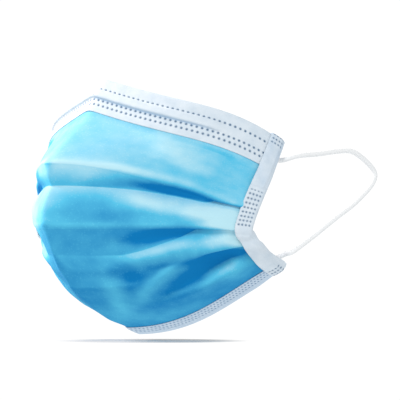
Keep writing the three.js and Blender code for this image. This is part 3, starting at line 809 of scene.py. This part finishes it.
chinTape = buildChinTape()
sideSetup = {
    "corners": ((5.8, 0.8), (4.4, 1.28), (0.5, 1.28), (-1.05, 0.768), (-1.5, -0.4), (-1.5, -1.2),
                (-1.05, -2.3375), (0.5, -2.75), (5.8, -2.75)),      # once round the tape, (inward, out)
    "sectionStep": 0.396,
    "upperLines": (0, 1, 2, 3, 4, 5, 12, 13, 19, 20),   # the lines of the cloth whose ends it follows
    "lowerLines": (28, 32, 33, 34),
    "inwardAt": 0.905,              # the place across that shows the way in from the edge
    "topOut": 1.9,                  # how far it goes on past the cloth's corners
    "lowOut": 0.3,
    "softening": 6,
    "directionSteps": 4,            # how many places each way give the edge's direction
    "endWeld": 0.8,
    "endOut": -0.735,               # where its two layers meet at its ends
    "dotRows": (0.1, 1.55, 3.0, 4.45),
    "dotSpacing": 1.87,
    "dotRadius": 0.52,
    "stagger": 0,
    "cornerDots": 5.5,
    "dotted": (0.365, 0.585),       # the part of its length with dots
    "single": (0.345, 0.615),       # above and below this part a second turn lies over the first
    "change": 0.01,
    "lapHeight": 0.55,
    "lapEdge": (-0.4, 0.4),
    "crinkle": {"height": 0.14, "size": (5, 3.2), "seed": 2.2},
    "tint": 0.12,
    "tintChange": {"height": 0.22, "size": (3, 6), "seed": 8.4},
    "tintFade": (0.3, 0.38),
}


def sideLine(across):
    # A line down the side of the cloth, from past its top corner to past its bottom one.
    points = clothPoints(across)
    upper = [points[line] for line in sideSetup["upperLines"]]
    lower = [points[line] for line in sideSetup["lowerLines"]]
    line = upper + [upper[-1].lerp(lower[0], 0.5)] + lower
    first = line[0] + (line[0] - line[1]).normalized() * sideSetup["topOut"]
    last = line[-1] + (line[-1] - line[-2]).normalized() * sideSetup["lowOut"]
    return [first] + line + [last]


def sideFrames():
    # Each place along the side edge, how far along it is, its way in and its way out.
    ends, inners = sideLine(1), sideLine(sideSetup["inwardAt"])
    places = placesAlong(ends, tapeSetup["step"], 1)
    edge = evened([splinePoint(ends, place) for place in places], sideSetup["softening"])
    inner = evened([splinePoint(inners, place) for place in places], sideSetup["softening"])
    steps = sideSetup["directionSteps"]
    frames = []
    along = 0
    for index, point in enumerate(edge):
        if index:
            along += (point - edge[index - 1]).length
        inward = (inner[index] - point).normalized()
        downEdge = (edge[min(len(edge) - 1, index + steps)] - edge[max(0, index - steps)]).normalized()
        frames.append((point, along, inward, inward.cross(downEdge).normalized()))
    return frames


def between(share, ends):
    # 1 between the two ends and 0 outside them
    start, end = ends
    change = sideSetup["change"]
    return rising(share, start, start + change) * (1 - rising(share, end, end + change))


def buildSideTape(name, node, side):
    frames = sideFrames()
    total = frames[-1][1]
    guide = asGuide(sideSetup["corners"])
    section = [splinePoint(guide, place) for place in placesAlong(guide, sideSetup["sectionStep"], 2)]
    tables = {"grid": [], "cloth": [], "weld": [], "tint": []}
    for point, along, inward, out in frames:
        share, fromEnd = along / total, min(along, total - along)
        dotted = 1 if fromEnd < sideSetup["cornerDots"] else between(share, sideSetup["dotted"])
        lap = sideSetup["lapHeight"] * (1 - between(share, sideSetup["single"]))
        opened = rising(fromEnd, 0, sideSetup["endWeld"])
        shown = 1 - rising(share, *sideSetup["tintFade"])
        travelled = 0
        rows = {key: [] for key in tables}
        for step, spot in enumerate(section):
            if step:
                travelled += (spot - section[step - 1]).length
            depth, lift = 0, spot.y
            if spot.y > 0:
                depth = weldDepth(along, spot.x, sideSetup) * dotted
                lift += noiseAt(sideSetup["crinkle"], spot.x, along) - depth * tapeSetup["weldDepth"]
                lift += lap * rising(spot.x, *sideSetup["lapEdge"])
            place = point + inward * spot.x + out * mixed(sideSetup["endOut"], lift, opened)
            place.x *= side
            rows["grid"].append(place)
            rows["cloth"].append((travelled * mm, -along * mm))
            rows["weld"].append(depth)
            tint = sideSetup["tint"] + noiseAt(sideSetup["tintChange"], spot.x, along)
            rows["tint"].append(max(0, tint) * shown)
        for key, row in rows.items():
            tables[key].append(row if side < 0 else row[::-1])
    return addTape(name, node, **tables)


sideTapes = [buildSideTape("binding_tape_right", "side_binding_right", 1),
             buildSideTape("binding_tape_left", "side_binding_left", -1)]
print("tapes made")


# Materials

def fill(tree, node, inputs):
    # Each value is a number, a colour or the output of another node.
    for key, value in inputs.items():
        if isinstance(value, bpy.types.NodeSocket):
            tree.links.new(value, node.inputs[key])
        else:
            node.inputs[key].default_value = value


def addNode(tree, kind, inputs, **settings):
    node = tree.nodes.new(kind)
    for key, value in settings.items():
        setattr(node, key, value)
    fill(tree, node, inputs)
    return node


def addMath(tree, operation, *values):
    node = addNode(tree, "ShaderNodeMath", dict(enumerate(values)), operation=operation)
    return node.outputs["Value"]


def newMaterial(name, surface):
    material = bpy.data.materials.new(name)
    material.use_nodes = True
    shader = material.node_tree.nodes["Principled BSDF"]
    fill(material.node_tree, shader, surface)
    return material, material.node_tree, shader


webSetup = {
    "cloud": {"Detail": 4},
    "fibre": {"Scale": 1500, "Detail": 3, "Distortion": 1.5},
    "fibreShare": 0.6,
    "bond": {"Scale": 950, "Randomness": 0.8},
    "pit": {"From Min": 0.1, "From Max": 0.4},
}


def buildSpunbondGroup():
    # Soft clouds of thicker and thinner fibre, with fine crossing fibres and tiny bond points.
    group = bpy.data.node_groups.new("spunbondWeb", "ShaderNodeTree")
    group.interface.new_socket("Vector", in_out="INPUT", socket_type="NodeSocketVector")
    group.interface.new_socket("Cloud Scale", in_out="INPUT", socket_type="NodeSocketFloat")
    group.interface.new_socket("Cloud", in_out="OUTPUT", socket_type="NodeSocketFloat")
    group.interface.new_socket("Height", in_out="OUTPUT", socket_type="NodeSocketFloat")
    start = addNode(group, "NodeGroupInput", {})
    place = {"Vector": start.outputs["Vector"]}
    clouds = {**place, **webSetup["cloud"], "Scale": start.outputs["Cloud Scale"]}
    cloud = addNode(group, "ShaderNodeTexNoise", clouds)
    fibre = addNode(group, "ShaderNodeTexNoise", {**place, **webSetup["fibre"]})
    bond = addNode(group, "ShaderNodeTexVoronoi", {**place, **webSetup["bond"]})
    pit = addNode(group, "ShaderNodeMapRange", {**webSetup["pit"], "Value": bond.outputs["Distance"]})
    height = addMath(group, "MULTIPLY_ADD", fibre.outputs["Fac"], webSetup["fibreShare"],
                     pit.outputs["Result"])
    addNode(group, "NodeGroupOutput", {"Cloud": cloud.outputs["Fac"], "Height": height})
    return group


spunbond = buildSpunbondGroup()


def addSpunbond(tree, cloudScale):
    uv = addNode(tree, "ShaderNodeUVMap", {}, uv_map="UVMap")
    web = addNode(tree, "ShaderNodeGroup", {}, node_tree=spunbond)
    fill(tree, web, {"Vector": uv.outputs["UV"], "Cloud Scale": cloudScale})
    return web


def addAttribute(tree, name):
    return addNode(tree, "ShaderNodeAttribute", {}, attribute_name=name).outputs["Fac"]


def addRamp(tree, value, stops):
    ramp = addNode(tree, "ShaderNodeValToRGB", {"Fac": value})
    elements = ramp.color_ramp.elements
    for position, colour in stops[2:]:
        elements.new(position)
    for element, (position, colour) in zip(elements, stops):
        element.position = position
        element.color = (*colour, 1)
    return ramp.outputs["Color"]


def addTint(tree, attributeName, under, colour):
    # The colour covers what is under it as far as the piece's attribute says.
    cover = addNode(tree, "ShaderNodeMix", {}, data_type="RGBA")
    fill(tree, cover, {"Factor": addAttribute(tree, attributeName), "A": under, "B": (*colour, 1)})
    return cover.outputs["Result"]


def finishSurface(tree, shader, colour, height, look):
    fill(tree, shader, {"Base Color": colour})
    if "bump" in look:
        bump = addNode(tree, "ShaderNodeBump", {**look["bump"], "Height": height})
        fill(tree, shader, {"Normal": bump.outputs["Normal"]})


clothLook = {
    "surface": {"Roughness": 0.8, "Sheen Roughness": 0.8, "Specular IOR Level": 0.05},
    "cloudScale": 160,
    "cloudShare": 0.24,
    "cloudOffset": -0.02,
    "grain": -0.09,
    "bump": {"Strength": 0.3, "Distance": 0.00008},
}


def clothMaterial(name, stops, sheen):
    material, tree, shader = newMaterial(name, {**clothLook["surface"], "Sheen Weight": sheen})
    web = addSpunbond(tree, clothLook["cloudScale"])
    height = web.outputs["Height"]
    tone = addMath(tree, "MULTIPLY_ADD", web.outputs["Cloud"], clothLook["cloudShare"],
                   clothLook["cloudOffset"])
    # Each ply's painted light and shade is added to the cloud tone and grain of the cloth, and the ramp makes
    # colour of it.
    tone = addMath(tree, "ADD", tone, addAttribute(tree, "paintedShading"))
    tone = addMath(tree, "MULTIPLY_ADD", height, clothLook["grain"], tone)
    finishSurface(tree, shader, addRamp(tree, tone, stops), height, clothLook)
    return material


tapeLook = {
    "surface": {"Roughness": 0.7, "Sheen Weight": 0.15, "Sheen Roughness": 0.5, "Specular IOR Level": 0.3},
    "cloudScale": 220,
    "stops": ((0.3, (0.62, 0.70, 0.77)), (0.7, (0.72, 0.78, 0.83))),
    "weldColour": (0.07, 0.15, 0.26),
    "clothShowingAndShadowColour": (0.22, 0.42, 0.66),
    "bump": {"Strength": 0.3, "Distance": 0.0001},
}


def tapeMaterial(name):
    material, tree, shader = newMaterial(name, tapeLook["surface"])
    web = addSpunbond(tree, tapeLook["cloudScale"])
    colour = addRamp(tree, web.outputs["Cloud"], tapeLook["stops"])
    colour = addTint(tree, "weld", colour, tapeLook["weldColour"])
    # Blue of the cloth showing through the tape; on the nose tape the same blue paints a shadow line under
    # the channel.
    colour = addTint(tree, "tint", colour, tapeLook["clothShowingAndShadowColour"])
    finishSurface(tree, shader, colour, web.outputs["Height"], tapeLook)
    return material


elasticLook = {
    "surface": {"Roughness": 0.85, "Sheen Weight": 0.3, "Specular IOR Level": 0.2},
    "grainScale": 2500,
    "stops": ((0.3, (0.87, 0.86, 0.85)), (0.7, (0.95, 0.94, 0.93))),
    "bump": {"Strength": 0.4, "Distance": 0.0001},
}
wireLook = {
    "surface": {"Roughness": 0.45},
    "grainScale": 600,
    "stops": ((0.3, (0.78, 0.79, 0.81)), (0.7, (0.86, 0.87, 0.89))),
}


def grainedMaterial(name, look):
    material, tree, shader = newMaterial(name, look["surface"])
    place = addNode(tree, "ShaderNodeTexCoord", {}).outputs["Object"]
    grain = addNode(tree, "ShaderNodeTexNoise", {"Vector": place, "Scale": look["grainScale"]})
    colour = addRamp(tree, grain.outputs["Fac"], look["stops"])
    finishSurface(tree, shader, colour, grain.outputs["Fac"], look)
    return material


def wear(piece, material):
    piece.data.materials.clear()
    piece.data.materials.append(material)


# Ramp stops from the painted shade at the dark end to the painted light at the light end, for the blue outer
# ply and the white inner ply.
blueLitAndShadedStops = ((0.0, (0.004, 0.20, 0.50)), (0.5, (0.10, 0.53, 0.76)), (1.0, (0.50, 0.775, 0.855)))
whiteLitAndShadedStops = ((0.0, (0.78, 0.80, 0.86)), (1.0, (0.88, 0.90, 0.94)))
wear(outerPly, clothMaterial("blueSpunbond", blueLitAndShadedStops, 0.0))
wear(innerPly, clothMaterial("whiteSpunbond", whiteLitAndShadedStops, 0.1))
whiteTape = tapeMaterial("whiteTapeSpunbond")
for tape in (noseTape, chinTape, *sideTapes):
    wear(tape, whiteTape)
knit = grainedMaterial("knittedElastic", elasticLook)
for loop in loops:
    wear(loop, knit)
wirePlastic = grainedMaterial("wirePlastic", wireLook)
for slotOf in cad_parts["nose_wire"].material_slots:
    slotOf.material = wirePlastic
print("materials made")


# Floor and light

roomSetup = {
    "floorLevel": -101.1,
    "floorSize": 0.9,                   # in metres, as are the lights' places, sizes and aim
    "floorColour": (0.5, 0.485, 0.47),
    "floorGlow": 0.1,
    "shadowPlace": (15, 15, 0),
    "shadowFade": (24, 46),             # how far from that place the shadow starts to fade and is gone
    "floorBounce": 1.0,
    "ambientColour": (0.93, 0.97, 1.0),
    "skyLight": 0.7,
    "skySeen": 1.05,
    "key": {"place": (0.5, -0.8, 0.85), "size": 0.3, "power": 6, "colour": (1, 1, 1)},
    "side": {"place": (-1.0, -0.45, 0.6), "size": 0.5, "power": 20, "colour": (1, 0.88, 0.86)},
    "aim": (0.01, 0.01, -0.045),
}


def addGlow(tree, kind, colour, strength):
    return addNode(tree, kind, {"Color": (*colour, 1), "Strength": strength}).outputs[0]


def addPick(tree, lighting, seen):
    # The camera sees one of the two, and the other one lights the mask.
    ray = addNode(tree, "ShaderNodeLightPath", {}).outputs["Is Camera Ray"]
    return addNode(tree, "ShaderNodeMixShader", {"Fac": ray, 1: lighting, 2: seen}).outputs["Shader"]


def addFloor():
    deselectAll()
    bpy.ops.mesh.primitive_plane_add(size=roomSetup["floorSize"], location=(0, 0, 0))
    floor = bpy.context.object
    floor.name = "floor"
    level = Vector((0, 0, roomSetup["floorLevel"])) * mm
    for vertex in floor.data.vertices:
        vertex.co += level
    material, tree, shader = newMaterial("paleFloor", {
        "Base Color": (*roomSetup["floorColour"], 1), "Roughness": 0.9, "Emission Color": (1, 1, 1, 1),
        "Emission Strength": roomSetup["floorGlow"],
    })
    # The floor fades into the white room round the shadow.
    place = addNode(tree, "ShaderNodeTexCoord", {}).outputs["Object"]
    away = addNode(tree, "ShaderNodeVectorMath", {}, operation="DISTANCE")
    fill(tree, away, {0: place, 1: Vector(roomSetup["shadowPlace"]) * mm + level})
    start, end = roomSetup["shadowFade"]
    fade = addNode(tree, "ShaderNodeMapRange", {}, interpolation_type="SMOOTHSTEP")
    fill(tree, fade, {"Value": away.outputs["Value"], "From Min": start * mm, "From Max": end * mm})
    white = addGlow(tree, "ShaderNodeEmission", (1, 1, 1), roomSetup["skySeen"])
    seen = addNode(tree, "ShaderNodeMixShader",
                   {"Fac": fade.outputs["Result"], 1: shader.outputs["BSDF"], 2: white})
    # What lights the mask from below is even and softer than the white that is seen.
    dim = addGlow(tree, "ShaderNodeEmission", roomSetup["ambientColour"], roomSetup["floorBounce"])
    pick = addPick(tree, dim, seen.outputs["Shader"])
    fill(tree, tree.nodes["Material Output"], {"Surface": pick})
    floor.data.materials.append(material)


def addLight(name, setup):
    data = bpy.data.lights.new(name, "AREA")
    data.shape = "DISK"
    data.size = setup["size"]
    data.energy = setup["power"]
    data.color = setup["colour"]
    light = bpy.data.objects.new(name, data)
    bpy.context.collection.objects.link(light)
    light.location = setup["place"]
    light.rotation_mode = "QUATERNION"
    light.rotation_quaternion = (Vector(roomSetup["aim"]) - light.location).to_track_quat("-Z", "Y")


def addSky():
    world = bpy.data.worlds.new("studio")
    bpy.context.scene.world = world
    world.use_nodes = True
    tree = world.node_tree
    ambient = addGlow(tree, "ShaderNodeBackground", roomSetup["ambientColour"], roomSetup["skyLight"])
    white = addGlow(tree, "ShaderNodeBackground", (1, 1, 1), roomSetup["skySeen"])
    fill(tree, tree.nodes["World Output"], {"Surface": addPick(tree, ambient, white)})


bpy.context.scene.view_settings.view_transform = "Standard"
addFloor()
addLight("keyLight", roomSetup["key"])
addLight("sideLight", roomSetup["side"])
addSky()
print("floor and lights set")

bpy.context.view_layer.update()
